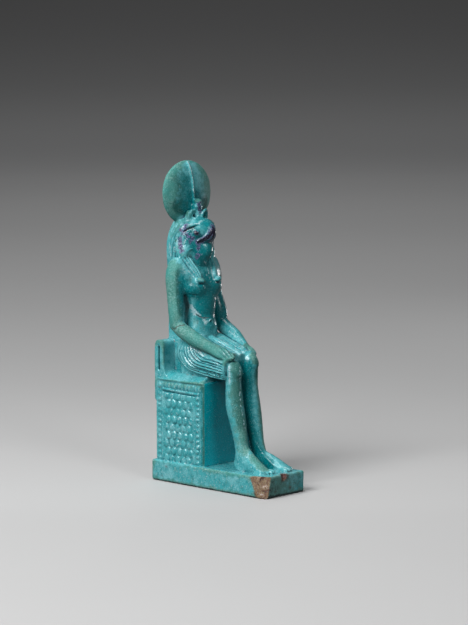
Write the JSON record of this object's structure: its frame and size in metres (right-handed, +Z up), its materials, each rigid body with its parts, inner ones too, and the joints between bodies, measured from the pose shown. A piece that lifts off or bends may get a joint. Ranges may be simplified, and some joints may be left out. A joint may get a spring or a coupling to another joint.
{
  "type": "seated falcon-headed deity statuette",
  "caption": "Small glazed statuette of a falcon-headed figure with a sun disc, seated on a block throne with scale-patterned sides, on an oblong base.",
  "frame": {"origin": "middle of the base's underside", "axes": "+Z up, the figure faces -Y, its right side is -X"},
  "size_m": [0.0274, 0.0576, 0.12],
  "materials": {
    "faience": "turquoise alkaline glaze, glossy in the hollows and worn matt and paler on what stands out, with dark aubergine touches on the beak and cobra"
  },
  "bodies": {
    "root": {"statuette": "faience"}
  },
  "joints": []
}
